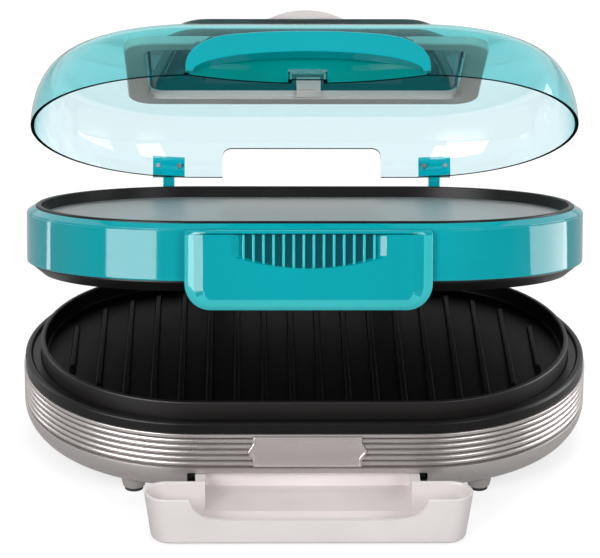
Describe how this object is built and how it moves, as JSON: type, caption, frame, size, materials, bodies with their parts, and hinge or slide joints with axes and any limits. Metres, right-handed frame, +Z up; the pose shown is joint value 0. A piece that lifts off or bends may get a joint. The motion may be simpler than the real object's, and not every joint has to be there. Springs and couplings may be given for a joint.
{
  "type": "hamburger maker",
  "caption": "Two-plate hamburger maker with ribbed silver base, hinged teal middle with bun tray, clear teal lid and pull-out drip tray.",
  "frame": {"origin": "on the counter, midway between the four feet", "axes": "+X to the right along the length, +Y to the back where the hinges are, +Z up"},
  "size_m": [0.338, 0.3005, 0.2628],
  "materials": {
    "silver_plastic": "silver lacquer, fine satin, ribbed",
    "silver_plate": "brushed, clear coated",
    "black_plastic": "black, fine grained, slight sheen",
    "nonstick_black": "cast, black non-stick coat, satin",
    "teal_plastic": "high gloss teal",
    "clear_teal": "transparent teal, polished",
    "grey_plastic": "warm grey, satin",
    "light_grey_plastic": "warm light grey, satin",
    "cream_plastic": "pale warm grey, semi gloss",
    "bun_plate_metal": "smooth rolled sheet, light satin",
    "steel": "zinc plated",
    "heater_steel": "heat tinted sheath",
    "ceramic": "white ceramic",
    "rubber_black": "soft, matt"
  },
  "bodies": {
    "base": {"base_housing": "silver_plastic", "name_plate": "silver_plate", "lower_bezel": "black_plastic", "lower_grill_plate": "nonstick_black", "lower_heater": "heater_steel", "lower_thermostat": "ceramic", "lower_reflector": "bun_plate_metal", "bottom_cover": "black_plastic", "foot_pads": "rubber_black", "tray_bay": "black_plastic", "drain_spout": "steel", "cord_gland": "rubber_black", "terminal_block": "ceramic", "hinge_bracket_right": "silver_plastic", "hinge_bracket_left": "silver_plastic", "main_hinge_pins": "steel", "base_screws": "steel"},
    "drip_tray": {"drip_tray": "cream_plastic"},
    "middle": {"middle_housing": "teal_plastic", "lower_frame": "black_plastic", "upper_grill_plate": "nonstick_black", "upper_heater": "heater_steel", "upper_thermostat": "ceramic", "bun_tray_rim": "black_plastic", "bun_plate": "bun_plate_metal", "front_handle": "teal_plastic", "handle_backing": "black_plastic", "middle_hinge_arm_right": "teal_plastic", "middle_hinge_arm_left": "teal_plastic", "lid_hinge_lugs": "teal_plastic", "lid_hinge_pins": "steel", "middle_screws": "steel"},
    "lid": {"lid_shell": "clear_teal", "lid_visor": "teal_plastic", "lid_frame": "grey_plastic", "lid_tab": "light_grey_plastic", "vent_cap": "light_grey_plastic", "lid_hinge_arm_right": "teal_plastic", "lid_hinge_arm_left": "teal_plastic", "lid_screws": "steel"}
  },
  "joints": [
    {"name": "middle_hinge", "type": "hinge", "parent": "base", "child": "middle", "pos_m": [0, 0.132, 0.055], "axis": [-1, 0, 0], "range_deg": [-15.2, 70]},
    {"name": "lid_hinge", "type": "hinge", "parent": "middle", "child": "lid", "pos_m": [0, 0.12871, 0.09631], "axis": [-1, 0, 0], "range_deg": [-21.8, 45]},
    {"name": "tray_slide", "type": "slide", "parent": "base", "child": "drip_tray", "axis": [0, -1, 0], "range_m": [-0.0236, 0.006]}
  ]
}
